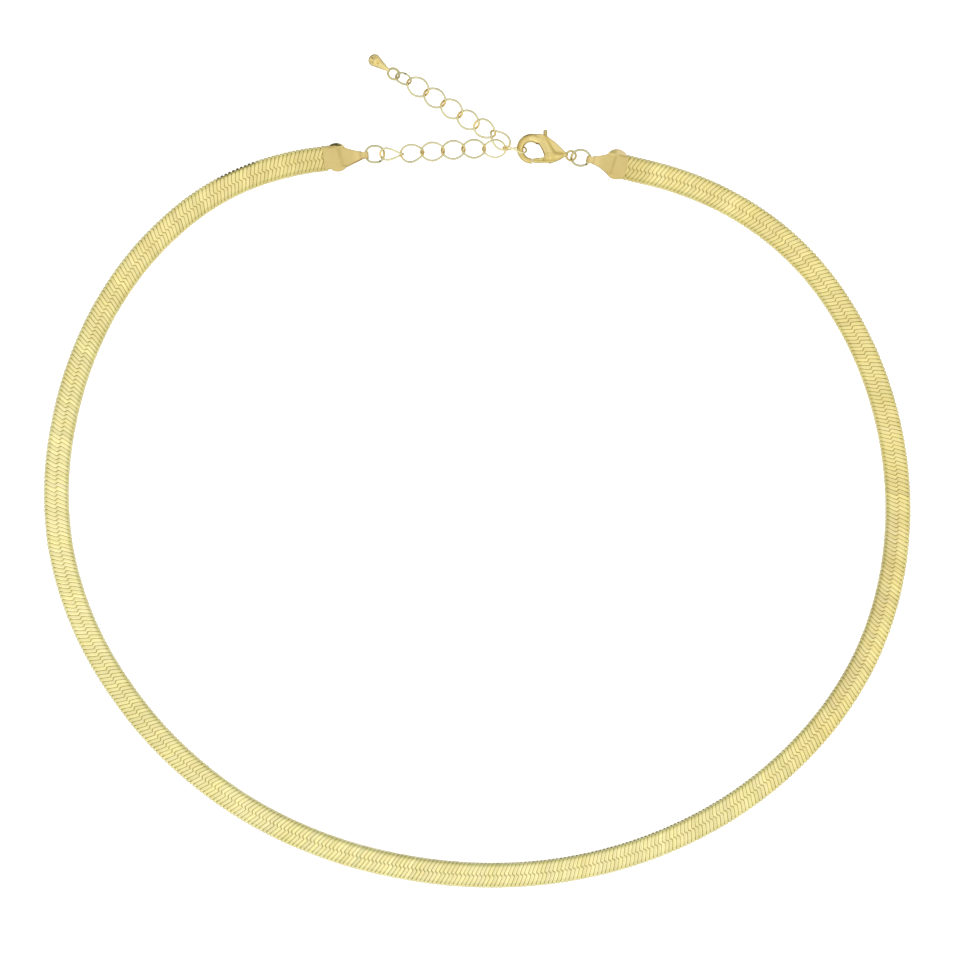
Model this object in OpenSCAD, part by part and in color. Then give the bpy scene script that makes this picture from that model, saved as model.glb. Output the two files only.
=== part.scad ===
// Flat herringbone chain necklace with a lobster clasp and a curb link extender, fastened and lying flat.
// The band closes its loop at the back of the neck (+Y) through the end caps, the rings, the clasp and the
// extender link that the clasp holds. The origin is in the middle of the neck opening, on the surface.

/* [Band] */
// Width of the flat band
band_w = 4.4; // [4.1:0.05:4.4]
// Thickness of the band
band_t = 1.1; // [0.9:0.05:1.1]
// Greatest turn of one facet along the band's bends, in degrees
step_deg = 3; // [2:1:5]

/* [End caps] */
// Thickness of the end caps
cap_t = 1.76; // [1.7:0.02:1.9]
// Diameter of the ears' round outline
cap_ears_d = 5.1; // [4.9:0.05:5.4]
// Width of the cap's plate where the band comes out
cap_plate_w = 3.7; // [3.3:0.1:4.0]
// Width of the bail at the cap's tip
cap_bail_w = 0.9; // [0.8:0.05:1.0]

/* [Extender chain] */
// Outer length of a curb link
link_len = 4.3; // [4.28:0.01:4.32]
// Outer width of a curb link
link_w = 3.42; // [3.40:0.01:3.44]
// Wire diameter of a curb link
link_wire = 0.3; // [0.24:0.01:0.30]
// Twist of each end of a curb link, in degrees
link_twist = 30; // [29:1:31]

/* [Rings] */
// Wire diameter of the jump rings beside the caps
ring_wire = 0.36; // [0.30:0.01:0.36]
// Outer diameter of the right jump ring
ring_right_d = 3.6; // [3.56:0.01:3.62]
// Wire diameter of the small ring before the drop
ring_small_wire = 0.3; // [0.24:0.01:0.30]

/* [Drop] */
// Radius of the drop's round head
drop_r = 1.1; // [1.0:0.05:1.1]
// Distance from the middle of the drop's loop to the middle of its head
drop_len = 4.0; // [3.6:0.1:4.4]

/* [Clasp] */
// Bend radius of the hook's middle line
hook_r = 2.0; // [1.98:0.01:2.02]
// Thickness of the hook
hook_d = 1.16; // [1.0:0.02:1.16]
// Thickness of the clasp body at its fullest place
clasp_t = 2.6; // [2.4:0.1:2.6]
// Radius of the lever's pivot
pivot_r = 0.3; // [0.26:0.02:0.30]

/* [Hidden] */
$fn = 64;

gold = [0.90, 0.80, 0.46];
pale_gold = [0.93, 0.86, 0.55];
wire_gold = [0.84, 0.79, 0.52];

// Bends of the band from the middle of the front outwards. Columns: radius, turn in degrees.
front = [2.05, -62.08];
right_bends = [
    [81, 14], [74.5, 15.5], [67, 18], [60.5, 21.5], [59, 22],
    [67, 19.5], [62.5, 14], [50, 26], [55, 14.5], [80, 3.6]
];
left_bends = [
    [83.5, 13], [79.5, 14], [75.5, 15.5], [68, 18], [60, 21.5], [60, 22],
    [66, 20], [54, 16.5], [43, 20.5], [52, 8.5], [50, 4.2]
];

// Middle of the bail of each cap, and the direction from there along the cap to the band
cap_left = [-19.52, 62.07, 185];
cap_right = [19.48, 61.22, -12];
cap_slot_gap = 0.08;
cap_disc_x = 4.85;
cap_end_x = 6.85;
cap_crease_x = 4.4;
cap_neck_x = 1.3;
cap_neck_t = 0.85;
cap_grip_x = 3.0;
cap_bore_r = 0.68;
cap_taper = [[0, 0.62], [0.5, 0.62], [1.9, 1.08], [3.3, cap_plate_w / 2]];
lift_run = 16;

// Curb links from the left jump ring to the drop. Columns: x, y, z, heading, pitch, roll.
links = [
    [-14.78, 62.20, 1.52, 0, 5, 60],
    [-11.26, 62.34, 1.17, 4, -10, 22.5],
    [-7.73, 62.67, 0.74, 4, -3, 6],
    [-4.19, 62.96, 0.56, 5, 0, 0],
    [-0.66, 63.15, 0.68, 1, 3, -2],
    [2.90, 63.17, 1.03, -2, 10, -12],
    [6.434, 63.065, 1.716, -6.4, -2.2, -82.3],
    [3.83, 64.72, 1.82, -45, 0, -33],
    [1.29, 66.55, 1.10, -30, 5, 22],
    [-1.57, 68.10, 0.78, -31, 5, 9],
    [-4.45, 70.02, 0.60, -33, 0, 3],
    [-7.37, 71.93, 0.56, -33, 0, 0],
    [-10.28, 73.83, 0.60, -33, 0, -2]
];
link_steps = 16;
link_nudge = 2;
wire_sides = 6;

// Rings. Columns: x, y, z, heading, pitch, roll.
ring_left_place = [-17.70, 62.20, 1.10, 0, 8, 0];
ring_right_place = [17.79, 61.565, 1.107, -10.5, -6.65, 33.8];
ring_small_place = [-12.77, 75.23, 1.08, -26, 0, 47];
ring_left_size = [3.65, 3.2];
ring_small_size = [3.05, 2.8];

// The drop, from the middle of its loop. Columns: x, y, z, heading, pitch.
drop_place = [-14.46, 76.05, 0.85, 144.8, 4];
drop_loop_d = 2.4;
drop_loop_wire = 0.34;
drop_loop_roll = 28;
drop_neck_r = 0.26;
drop_neck_embed = 0.05;
drop_shoulder = [-0.2, 0.93 * drop_r];
star_rays = 8;
star_tilt = 8;
star_hub_r = 0.1 * drop_r;
star_groove = 0.2 * drop_r;
star_flat = 0.78 * drop_r;

// The clasp's own frame has its origin in the middle of the hook's bend, in the clasp's middle plane.
clasp_place = [9.367, 63.135, clasp_t / 2];
hook_from = 60;
hook_turn = 210;
pivot = [3.66, -1.38];
pivot_gap = 0.06;
pivot_embed = 0.2;
eye = [6.76, -1.21];
eye_d = 2.02;
eye_wire = 0.38;
slot_t = 0.8;
lever_t = 0.64;
knob = [2.36, 2.0];
knob_len = 1.36;
knob_root_r = 0.30;
knob_tip_r = 0.24;
boss_r = 0.62;

// Sections of the clasp body. Columns: x, lower edge, upper edge, share of the full thickness.
body_rows = [
    [0.60, 1.50, 2.48, 0.32],
    [1.20, 1.02, 2.60, 0.62],
    [1.62, 0.22, 2.54, 0.76],
    [1.88, -0.45, 2.47, 0.84],
    [2.07, -0.95, 2.41, 0.88],
    [2.22, -1.95, 2.35, 0.91],
    [2.45, -2.46, 2.25, 0.95],
    [3.10, -2.60, 1.94, 1.00],
    [3.80, -2.42, 1.45, 0.99],
    [4.60, -1.94, 0.74, 0.85],
    [5.28, -1.50, -0.04, 0.59],
    [6.00, -1.24, -0.62, 0.28]
];
// Sections of the lever's nose. Columns: x, lower edge, upper edge, thickness.
nose_rows = [
    [0.22, -2.32, -1.66, 0.84],
    [0.40, -2.42, -1.58, 1.12],
    [1.10, -2.50, -1.50, 1.24],
    [1.76, -2.54, -1.44, 1.24],
    [1.95, -2.48, -1.64, 1.08]
];
section_sides = 14;
section_power = 0.7;

function link_name(i) = str("extender_link_", i < 9 ? "0" : "", i + 1);
function unit(v) = v / norm(v);
function reversed(v) = [for (i = [len(v) - 1 : -1 : 0]) v[i]];
function smooth(t) = let (u = min(max(t, 0), 1)) u * u * (3 - 2 * u);

// Walks from the place s = [x, y, heading] along an arc of the radius, to the left for a positive turn
function walk(s, radius, turn) =
    let (r = turn > 0 ? radius : -radius)
    [
        s[0] + r * (sin(s[2] + turn) - sin(s[2])),
        s[1] - r * (cos(s[2] + turn) - cos(s[2])),
        s[2] + turn
    ];

// All places along a list of bends
function route(bends, side, s, i = 0) =
    i == len(bends) ? [s] :
    let (
        radius = bends[i][0],
        turn = side * bends[i][1],
        steps = ceil(bends[i][1] / step_deg)
    )
    concat(
        [for (k = [0 : steps - 1]) walk(s, radius, turn * k / steps)],
        route(bends, side, walk(s, radius, turn), i + 1)
    );

// Place at the distance x along a cap, with the heading of the band there
function cap_station(cap, x, heading) = [cap[0] + x * cos(cap[2]), cap[1] + x * sin(cap[2]), heading];

// The band's middle line from the left cap round the front to the right cap
function band_route() =
    let (
        from_front = route(left_bends, -1, [front[0], front[1], 180]),
        left = [for (s = reversed(from_front)) [s[0], s[1], s[2] - 180]],
        right = route(right_bends, 1, [front[0], front[1], 0]),
        left_heading = cap_left[2] - 360,
        right_heading = cap_right[2] + 180
    )
    concat(
        [for (x = [cap_grip_x, cap_end_x]) cap_station(cap_left, x, left_heading)],
        [for (i = [0 : len(left) - 2]) left[i]],
        right,
        [for (x = [cap_end_x, cap_grip_x]) cap_station(cap_right, x, right_heading)]
    );

// Height of the band's underside: it rises into the slots of the caps
function band_lift(s) =
    let (
        to_left = norm([s[0] - cap_left[0], s[1] - cap_left[1]]) - cap_end_x,
        to_right = norm([s[0] - cap_right[0], s[1] - cap_right[1]]) - cap_end_x
    )
    (cap_t - band_t) / 2 * smooth(1 - min(to_left, to_right) / lift_run);

// The band's section, a flat strip with round edges, as [inwards, up]
function band_profile() =
    let (r = band_t / 2, x = band_w / 2 - r)
    concat(
        [for (a = [-90 : 45 : 90]) [x + r * cos(a), r + r * sin(a)]],
        [for (a = [90 : 45 : 270]) [-x + r * cos(a), r + r * sin(a)]]
    );

function band_sections() = [
    for (s = band_route())
    let (inwards = [-sin(s[2]), cos(s[2])], lift = band_lift(s))
    [for (p = band_profile()) [s[0] + p[0] * inwards[0], s[1] + p[0] * inwards[1], p[1] + lift]]
];

// A curb link's wire: an oval whose ends are twisted against each other
function link_point(t, roll) =
    let (
        a = (link_len - link_wire) / 2,
        b = (link_w - link_wire) / 2,
        lean = roll + link_twist * cos(t)
    )
    [a * cos(t), b * sin(t) * cos(lean), b * sin(t) * sin(lean)];

function link_sections(roll) = [
    for (k = [0 : link_steps - 1])
    let (
        t = 360 * k / link_steps,
        centre = link_point(t, roll),
        along = unit(link_point(t + link_nudge, roll) - link_point(t - link_nudge, roll)),
        out = unit(centre - (centre * along) * along),
        side = cross(along, out)
    )
    [
        for (j = [0 : wire_sides - 1])
        centre + link_wire / 2 * (cos(360 * j / wire_sides) * out + sin(360 * j / wire_sides) * side)
    ]
];

// Fills a round section out towards its corners
function full(v) = sign(v) * pow(abs(v), section_power);

// Rounded section of a cast piece across x. Row: x, lower edge, upper edge, share of the thickness.
function cast_section(row, thickness = 1) = [
    for (j = [0 : section_sides - 1])
    let (a = 360 * j / section_sides, half = (row[2] - row[1]) / 2)
    [
        row[0],
        row[1] + half + half * full(cos(a)),
        row[3] * thickness / 2 * full(sin(a))
    ]
];

// Skin over a row of sections with equal numbers of points, closed to a loop or with flat ends
module skin(sections, loop = false) {
    rows = len(sections);
    sides = len(sections[0]);
    last = loop ? rows - 1 : rows - 2;
    walls = [
        for (i = [0 : last], j = [0 : sides - 1])
        let (i2 = (i + 1) % rows, j2 = (j + 1) % sides)
        [i * sides + j, i2 * sides + j, i2 * sides + j2, i * sides + j2]
    ];
    ends = loop ? [] : [
        [for (j = [0 : sides - 1]) j],
        [for (j = [sides - 1 : -1 : 0]) (rows - 1) * sides + j]
    ];
    polyhedron(points = [for (s = sections, p = s) p], faces = concat(walls, ends));
}

module place(row) {
    translate([row[0], row[1], row[2]])
        rotate([0, -row[4], row[3]])
            children();
}

// Round wire ring in the XY plane, drawn out along X if it is longer than wide
module wire_ring(length, width, wire) {
    stretch = (length - width) / 2;
    bend = (width - wire) / 2;
    if (stretch == 0)
        rotate_extrude() translate([bend, 0]) circle(d = wire);
    else
        union() {
            for (side = [0, 180])
                rotate([0, 0, side]) {
                    translate([stretch, 0, 0])
                        rotate([0, 0, -90])
                            rotate_extrude(angle = 180)
                                translate([bend, 0]) circle(d = wire);
                    translate([-stretch, bend, 0])
                        rotate([0, 90, 0])
                            cylinder(d = wire, h = 2 * stretch);
                }
        }
}

module herringbone_band() {
    color(pale_gold) skin(band_sections());
}

// Outline of the cap seen from above: tapered neck, plate and round ears
module cap_outline() {
    polygon(concat(
        [for (p = cap_taper) [p[0], -p[1]]],
        [[cap_end_x, -cap_plate_w / 2], [cap_end_x, cap_plate_w / 2]],
        [for (p = reversed(cap_taper)) [p[0], p[1]]]
    ));
    translate([cap_disc_x, 0]) circle(d = cap_ears_d);
}

// Outline of the cap seen from the side, as [along, up]
module cap_side() {
    neck_low = (cap_t - cap_neck_t) / 2;
    tip_x = -cap_t;
    back_x = cap_disc_x + cap_ears_d;
    polygon([
        [tip_x, neck_low], [cap_neck_x, neck_low], [cap_crease_x, 0], [back_x, 0],
        [back_x, cap_t], [cap_crease_x, cap_t], [cap_neck_x, cap_t - neck_low], [tip_x, cap_t - neck_low]
    ]);
}

module end_cap(cap) {
    mouth_x = cap_grip_x - cap_slot_gap;
    mouth_w = band_w + 2 * cap_slot_gap;
    mouth_t = band_t + 2 * cap_slot_gap;
    translate([cap[0], cap[1], 0])
        rotate([0, 0, cap[2]])
            difference() {
                union() {
                    intersection() {
                        linear_extrude(cap_t) cap_outline();
                        translate([0, cap_ears_d, 0])
                            rotate([90, 0, 0])
                                linear_extrude(2 * cap_ears_d) cap_side();
                    }
                    translate([0, cap_bail_w / 2, cap_t / 2])
                        rotate([90, 0, 0])
                            cylinder(d = cap_t, h = cap_bail_w);
                }
                translate([0, cap_ears_d, cap_t / 2])
                    rotate([90, 0, 0])
                        cylinder(r = cap_bore_r, h = 2 * cap_ears_d);
                translate([mouth_x, -mouth_w / 2, (cap_t - mouth_t) / 2])
                    cube([cap_end_x, mouth_w, mouth_t]);
            }
}

module end_cap_left() {
    color(gold) end_cap(cap_left);
}

module end_cap_right() {
    color(gold) end_cap(cap_right);
}

module jump_ring_left() {
    color(wire_gold)
        place(ring_left_place)
            wire_ring(ring_left_size[0], ring_left_size[1], ring_wire);
}

module jump_ring_right() {
    color(wire_gold)
        place(ring_right_place)
            rotate([ring_right_place[5], 0, 0])
                wire_ring(ring_right_d, ring_right_d, ring_wire);
}

module jump_ring_small() {
    color(wire_gold)
        place(ring_small_place)
            rotate([ring_small_place[5], 0, 0])
                wire_ring(ring_small_size[0], ring_small_size[1], ring_small_wire);
}

module extender_link(row) {
    color(wire_gold)
        place(row)
            skin(link_sections(row[5]), loop = true);
}

// Shallow V grooves that meet in the middle of the head's flat top
module star_cut() {
    translate([-drop_r, -drop_r, star_flat]) cube(2 * drop_r);
    for (k = [0 : star_rays - 1])
        rotate([0, 0, 360 * k / star_rays])
            translate([star_hub_r, 0, star_flat])
                rotate([0, star_tilt, 0])
                    rotate([45, 0, 0])
                        translate([0, -star_groove / 2, -star_groove / 2])
                            cube([drop_r, star_groove, star_groove]);
}

module extender_drop() {
    neck_x = (drop_loop_d - drop_loop_wire) / 2 - drop_neck_embed;
    neck_h = drop_len + drop_shoulder[0] - neck_x;
    color(gold)
        place(drop_place)
            union() {
                rotate([drop_loop_roll, 0, 0]) wire_ring(drop_loop_d, drop_loop_d, drop_loop_wire);
                difference() {
                    union() {
                        translate([neck_x, 0, 0])
                            rotate([0, 90, 0])
                                cylinder(r1 = drop_neck_r, r2 = drop_shoulder[1], h = neck_h);
                        translate([drop_len, 0, 0]) sphere(r = drop_r);
                    }
                    translate([drop_len, 0, 0]) star_cut();
                }
            }
}

module clasp_body() {
    color(gold)
        translate(clasp_place)
            union() {
                difference() {
                    union() {
                        rotate([0, 0, hook_from])
                            rotate_extrude(angle = hook_turn)
                                translate([hook_r, 0]) circle(d = hook_d);
                        skin([for (row = body_rows) cast_section(row, clasp_t)]);
                    }
                    translate([0, 0, -slot_t / 2]) linear_extrude(slot_t) lever_slot();
                }
                translate([pivot[0], pivot[1], -slot_t / 2 - pivot_embed])
                    cylinder(r = pivot_r, h = slot_t + 2 * pivot_embed);
                translate([eye[0], eye[1], 0]) wire_ring(eye_d, eye_d, eye_wire);
            }
}

// Room between the cheeks for the lever's swing, open at the top, at the hole and at the bottom left
module lever_slot() {
    polygon([
        [1.20, -3.00], [2.95, -3.00], [2.95, -2.12], [4.40, -2.12], [4.40, -0.40],
        [4.30, 3.00], [1.85, 3.00], [1.90, 2.20], [2.35, 0.75], [1.20, 0.25]
    ]);
}

// The lever's plate between the cheeks: the arm up to the knob, the boss and the root of the nose
module lever_plate() {
    difference() {
        union() {
            polygon([[2.00, 2.10], [2.60, 0.60], [3.15, -1.50], [4.15, -1.10], [2.74, 2.10]]);
            polygon([[1.30, -2.28], [3.66, -1.95], [3.66, -0.80], [3.00, -1.05], [1.30, -1.62]]);
            translate(pivot) circle(r = boss_r);
        }
        translate(pivot) circle(r = pivot_r + pivot_gap);
    }
}

module clasp_lever() {
    color(gold)
        translate(clasp_place)
            union() {
                translate([0, 0, -lever_t / 2]) linear_extrude(lever_t) lever_plate();
                skin([for (row = nose_rows) cast_section(row)]);
                translate([knob[0], knob[1], 0])
                    rotate([-90, 0, 0])
                        cylinder(r1 = knob_root_r, r2 = knob_tip_r, h = knob_len);
            }
}

herringbone_band();
end_cap_left();
end_cap_right();
jump_ring_left();
jump_ring_right();
for (i = [0 : len(links) - 1])
    extender_link(links[i]);
jump_ring_small();
extender_drop();
clasp_body();
clasp_lever();
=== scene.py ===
import math

import bpy
import numpy as np
from mathutils import Matrix, Vector


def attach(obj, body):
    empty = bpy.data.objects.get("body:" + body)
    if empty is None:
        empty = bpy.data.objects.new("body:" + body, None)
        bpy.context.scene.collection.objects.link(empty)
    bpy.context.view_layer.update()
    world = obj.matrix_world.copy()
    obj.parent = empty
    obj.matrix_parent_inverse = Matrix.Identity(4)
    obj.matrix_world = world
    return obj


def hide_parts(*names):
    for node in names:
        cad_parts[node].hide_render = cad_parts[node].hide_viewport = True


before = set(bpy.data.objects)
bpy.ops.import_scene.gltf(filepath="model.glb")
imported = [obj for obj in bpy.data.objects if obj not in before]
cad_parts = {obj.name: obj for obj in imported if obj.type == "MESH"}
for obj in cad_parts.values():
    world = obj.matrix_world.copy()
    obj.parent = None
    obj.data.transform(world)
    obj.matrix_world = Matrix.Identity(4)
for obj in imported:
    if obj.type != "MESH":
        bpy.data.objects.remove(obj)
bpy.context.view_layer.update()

MM = 0.001
rng = np.random.default_rng(7)

# ---- camera
# straight from above; width and middle of the view on the ground, in millimetres
VIEW_MM, VIEW_CENTRE = 165.6, (0.43, 6.04)
LENS, SENSOR, CLIP_START = 300.0, 36.0, 0.01

camera_data = bpy.data.cameras.new("camera")
camera_data.lens = LENS
camera_data.sensor_width = SENSOR
camera_data.clip_start = CLIP_START
camera = bpy.data.objects.new("camera", camera_data)
camera.location = (VIEW_CENTRE[0] * MM, VIEW_CENTRE[1] * MM, VIEW_MM * LENS / SENSOR * MM)
bpy.context.collection.objects.link(camera)
bpy.context.scene.camera = camera
bpy.context.scene.view_settings.view_transform = "Standard"


# ---- node helpers
def new_material(name):
    material = bpy.data.materials.new(name)
    material.use_nodes = True
    return material, material.node_tree, material.node_tree.nodes["Principled BSDF"]


def add_node(tree, kind, inputs=None, **settings):
    """A new node with its settings; its inputs are linked to outputs or set to plain values."""
    node = tree.nodes.new(kind)
    for key, value in settings.items():
        setattr(node, key, value)
    for key, value in (inputs or {}).items():
        if isinstance(value, bpy.types.NodeSocket):
            tree.links.new(value, node.inputs[key])
        else:
            node.inputs[key].default_value = value
    return node


def ramp(tree, value, low, high, to_low, to_high, shape="LINEAR"):
    """A value's range from low to high, mapped to another range."""
    inputs = {"Value": value, "From Min": low, "From Max": high, "To Min": to_low, "To Max": to_high}
    return add_node(tree, "ShaderNodeMapRange", inputs, interpolation_type=shape).outputs["Result"]


def mixed_colour(tree, factor, first, second, blend="MIX"):
    inputs = {"Factor": factor, "A": first, "B": second}
    return add_node(tree, "ShaderNodeMix", inputs, data_type="RGBA", blend_type=blend).outputs["Result"]


# ---- floor and light
FLOOR_HALF, FLOOR_DROP = 1.2, 0.00004
FLOOR_COLOUR, FLOOR_ROUGHNESS, FLOOR_SPECULAR = (0.86, 0.86, 0.87, 1), 0.9, 0.1
FLOOR_GLOW_COLOUR, FLOOR_GLOW = (1, 1, 1, 1), 0.75


def add_stage():
    """A white floor that glows, so that shadows stay pale, and isn't mirrored in the gold."""
    corners = [(x * FLOOR_HALF, y * FLOOR_HALF, -FLOOR_DROP) for x, y in ((-1, -1), (1, -1), (1, 1), (-1, 1))]
    data = bpy.data.meshes.new("floor")
    data.from_pydata(corners, [], [(0, 1, 2, 3)])
    floor = bpy.data.objects.new("floor", data)
    bpy.context.collection.objects.link(floor)
    material, _, shader = new_material("floor_white")
    shader.inputs["Base Color"].default_value = FLOOR_COLOUR
    shader.inputs["Roughness"].default_value = FLOOR_ROUGHNESS
    shader.inputs["Specular IOR Level"].default_value = FLOOR_SPECULAR
    shader.inputs["Emission Color"].default_value = FLOOR_GLOW_COLOUR
    shader.inputs["Emission Strength"].default_value = FLOOR_GLOW
    data.materials.append(material)
    floor.visible_glossy = False


# ramps of the light's level over Y (to the back) or Z (up) of its direction: from, to, level there and there
BACK_RAMP, LOW_RAMP = (-0.75, 0.75, 1.0, 0.76), (-0.7, -0.05, 0.6, 1.0)
OVERHEAD_RAMP, OVERHEAD_LEVEL = (0.34, 0.94, 0.0, 1.0), 1.04
# something dark at the back on the left: degrees round from +X of its middle, from there to where it fades
# and has faded out, how dark it is, and its upper and lower ends over Z
DARK_TOWARDS, DARK_HALF, DARK_FADE, DARK_SHARE = 107.0, 11.0, 20.0, 0.97
DARK_TOP_RAMP, DARK_FOOT_RAMP = (-0.05, 0.12, 1.0, 0.0), (-0.45, -0.22, 0.0, 1.0)
LIGHT_TINT = (0.99, 1.0, 1.0, 1)
# lamps: name, place in metres, size, power
LAMPS = (("key", (-0.3, -0.55, 0.6), 0.4, 0.22), ("fill", (0.5, -0.2, 0.55), 0.35, 0.12))


def add_light():
    """Bright overhead, dimmer at the back and below, dark low at the back; two soft lamps from the front."""
    world = bpy.data.worlds.new("studio")
    world.use_nodes = True
    bpy.context.scene.world = world
    tree = world.node_tree
    direction = add_node(tree, "ShaderNodeTexCoord").outputs["Generated"]
    split = add_node(tree, "ShaderNodeSeparateXYZ", {0: direction})
    x, y, z = (split.outputs[key] for key in "XYZ")

    def ranged(value, *bounds):
        return ramp(tree, value, *bounds, shape="SMOOTHSTEP")

    def worked(operation, *values):
        return add_node(tree, "ShaderNodeMath", dict(enumerate(values)), operation=operation).outputs[0]

    side = worked("MULTIPLY", ranged(y, *BACK_RAMP), ranged(z, *LOW_RAMP))
    beside = worked("ABSOLUTE", worked("SUBTRACT", worked("ARCTAN2", y, x), math.radians(DARK_TOWARDS)))
    dark = ranged(beside, math.radians(DARK_HALF), math.radians(DARK_FADE), 1.0, 0.0)
    for bounds in (DARK_TOP_RAMP, DARK_FOOT_RAMP):
        dark = worked("MULTIPLY", dark, ranged(z, *bounds))
    side = worked("MULTIPLY", side, worked("SUBTRACT", 1.0, worked("MULTIPLY", dark, DARK_SHARE)))
    levels = {"Factor": ranged(z, *OVERHEAD_RAMP), "A": side, "B": OVERHEAD_LEVEL}
    level = add_node(tree, "ShaderNodeMix", levels, data_type="FLOAT").outputs["Result"]
    white = add_node(tree, "ShaderNodeCombineColor", dict.fromkeys(("Red", "Green", "Blue"), level))
    colour = mixed_colour(tree, 1.0, LIGHT_TINT, white.outputs["Color"], blend="MULTIPLY")
    tree.links.new(colour, tree.nodes["Background"].inputs["Color"])
    for name, at, size, power in LAMPS:
        data = bpy.data.lights.new(name, "AREA")
        data.size = size
        data.energy = power
        lamp = bpy.data.objects.new(name, data)
        lamp.location = at
        lamp.rotation_euler = (-Vector(at)).to_track_quat("-Z", "Y").to_euler()
        bpy.context.collection.objects.link(lamp)


add_stage()
add_light()

# ---- materials
# the part of a noise's range that is used, and how the darker places differ from the colour
NOISE_RANGE, DARKER = (0.3, 0.7), (0.93, 0.9, 0.82)
BLOTCH_DETAIL, SMUDGE_DETAIL, SMUDGE_FINER = 3, 4, 2.3
SMUDGE_GLOSSIER, SMUDGE_DULLER = 0.05, 0.07
SCRATCH_SCALE, SCRATCH_DETAIL, SCRATCH_STRETCH, SCRATCH_DEPTH = 9000, 5, (1, 0.35, 1), 0.00002


def gold(name, colour, roughness, blotch, scratch, tones=True):
    """Polished plating: colour drift, smudges in the gloss and fine scratches, times the mesh's tones, which
    carry painted light and shade.
    """
    material, tree, shader = new_material(name)
    coordinates = add_node(tree, "ShaderNodeTexCoord").outputs["Object"]

    def noise(scale, detail, stretch=(1, 1, 1)):
        mapping = add_node(tree, "ShaderNodeMapping", {"Vector": coordinates, "Scale": stretch})
        inputs = {"Vector": mapping.outputs["Vector"], "Scale": scale, "Detail": detail}
        return add_node(tree, "ShaderNodeTexNoise", inputs).outputs["Fac"]

    drift = ramp(tree, noise(blotch, BLOTCH_DETAIL), *NOISE_RANGE, 0.0, 1.0)
    darker = [c * share for c, share in zip(colour, DARKER)]
    base = mixed_colour(tree, drift, (*darker, 1), (*colour, 1))
    if tones:
        # the mesh's tones hold painted light and shade besides tone that varies at random
        attribute = add_node(tree, "ShaderNodeAttribute", attribute_name="tone")
        base = mixed_colour(tree, 1.0, base, attribute.outputs["Color"], blend="MULTIPLY")
    smudges = ramp(tree, noise(blotch * SMUDGE_FINER, SMUDGE_DETAIL), *NOISE_RANGE,
                   roughness - SMUDGE_GLOSSIER, roughness + SMUDGE_DULLER)
    scratches = {"Strength": scratch, "Distance": SCRATCH_DEPTH,
                 "Height": noise(SCRATCH_SCALE, SCRATCH_DETAIL, SCRATCH_STRETCH)}
    shader.inputs["Metallic"].default_value = 1.0
    tree.links.new(base, shader.inputs["Base Color"])
    tree.links.new(smudges, shader.inputs["Roughness"])
    tree.links.new(add_node(tree, "ShaderNodeBump", scratches).outputs["Normal"], shader.inputs["Normal"])
    return material


BAND_GOLD = gold("band_gold_plating", (0.93, 0.85, 0.44), 0.17, 260, 0.25)
# painted shade: the core's gold is darker so that the gaps between the links look dark
CORE_SHADE_GOLD = gold("band_core_shade_gold", (0.66, 0.55, 0.17), 0.45, 260, 0.2, tones=False)
CAP_GOLD = gold("cap_gold_plating", (0.71, 0.57, 0.24), 0.34, 420, 0.35)
WIRE_GOLD = gold("wire_gold_plating", (0.7, 0.66, 0.41), 0.2, 600, 0.15)
DROP_GOLD = gold("drop_gold_plating", (0.86, 0.72, 0.34), 0.3, 500, 0.2)
CAST_GOLD = gold("cast_gold_plating", (0.72, 0.57, 0.22), 0.16, 500, 0.2)


# ---- mesh helpers
def mesh_piece(name, points, faces, material, body, node, tone=None):
    """One object from points in millimetres, riding on a body and standing for a CAD node."""
    data = bpy.data.meshes.new(name)
    data.from_pydata((np.asarray(points) * MM).tolist(), [], [list(map(int, f)) for f in faces])
    data.polygons.foreach_set("use_smooth", [True] * len(data.polygons))
    if tone is not None:
        attribute = data.attributes.new("tone", "FLOAT_COLOR", "POINT")
        attribute.data.foreach_set("color", np.asarray(tone, np.float32).ravel())
    data.materials.append(material)
    data.validate()
    piece = bpy.data.objects.new(name, data)
    bpy.context.collection.objects.link(piece)
    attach(piece, body)
    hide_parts(node)


def eased(value, start, end):
    """0 at start and 1 at end, whichever of them is the greater, with soft ends."""
    u = np.clip((value - start) / (end - start), 0, 1)
    return u * u * (3 - 2 * u)


def window(value, low, high, soft):
    """1 between low and high, 0 outside, with soft ends."""
    return eased(value, low - soft, low) * eased(value, high + soft, high)


def off(degrees, at):
    """Distance in degrees round a circle."""
    return np.abs((degrees - at + 180) % 360 - 180)


def toned(share, tone):
    """Colours that go from white to a tone with the share."""
    return np.concatenate([1 + share[:, None] * (np.array(tone) - 1), np.ones((len(share), 1))], 1)


def patched(x, y, patches):
    """Product of the tones of some patches, each over its windows in x and y."""
    return np.prod([toned(window(x, *in_x) * window(y, *in_y), tone) for tone, in_x, in_y in patches], axis=0)


def tube_faces(rings, sides, loop):
    """Faces of a tube from rings of points, closed into a loop or capped at its two ends."""
    faces = []
    for i in range(rings if loop else rings - 1):
        k = (i + 1) % rings
        for j in range(sides):
            m = (j + 1) % sides
            faces.append((i * sides + j, i * sides + m, k * sides + m, k * sides + j))
    if not loop:
        faces.append(tuple(range(sides - 1, -1, -1)))
        faces.append(tuple((rings - 1) * sides + j for j in range(sides)))
    return faces


def unit(v):
    return v / np.linalg.norm(v, axis=-1, keepdims=True)


def wire(centres, radius, sides):
    """Closed round wire along centres, with each ring's first point away from the middle."""
    along = unit(np.roll(centres, -1, 0) - np.roll(centres, 1, 0))
    out = unit(centres - (centres * along).sum(1, keepdims=True) * along)
    side = np.cross(along, out)
    points = [c + radius * (math.cos(a) * o + math.sin(a) * s)
              for c, o, s in zip(centres, out, side)
              for a in np.linspace(0, 2 * math.pi, sides, endpoint=False)]
    return points, tube_faces(len(centres), sides, True)


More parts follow.
